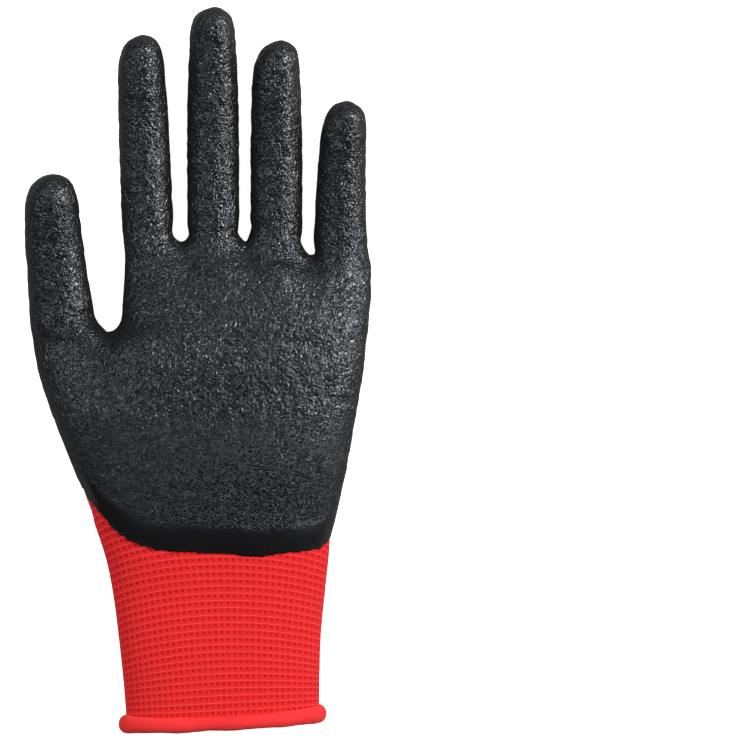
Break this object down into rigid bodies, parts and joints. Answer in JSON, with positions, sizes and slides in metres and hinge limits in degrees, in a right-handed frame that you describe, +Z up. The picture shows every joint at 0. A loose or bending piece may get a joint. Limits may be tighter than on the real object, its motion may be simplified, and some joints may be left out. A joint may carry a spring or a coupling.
{
  "type": "latex coated grip glove",
  "caption": "Left-hand seamless knitted work glove with a crinkled latex coat on its palm and fingertips, an elastic knit cuff and an overlocked hem, lying palm up.",
  "frame": {"origin": "on the flat back of the hand, where the glove rests, in the middle of the palm's length and near the middle of its width", "axes": "+Y along the fingers away from the cuff, +Z up out of the palm, thumb on the -X side"},
  "size_m": [0.1227, 0.2578, 0.0281],
  "materials": {
    "red_knit": "matte knit",
    "black_latex": "crinkled semi-gloss",
    "red_rib": "matte elastic rib knit",
    "hem_thread": "matte overlock thread"
  },
  "bodies": {
    "root": {"knit_palm": "red_knit", "thumb_stall": "red_knit", "index_stall": "red_knit", "middle_stall": "red_knit", "ring_stall": "red_knit", "little_stall": "red_knit", "latex_coating": "black_latex", "knit_cuff": "red_rib", "cuff_hem": "hem_thread"}
  },
  "joints": []
}
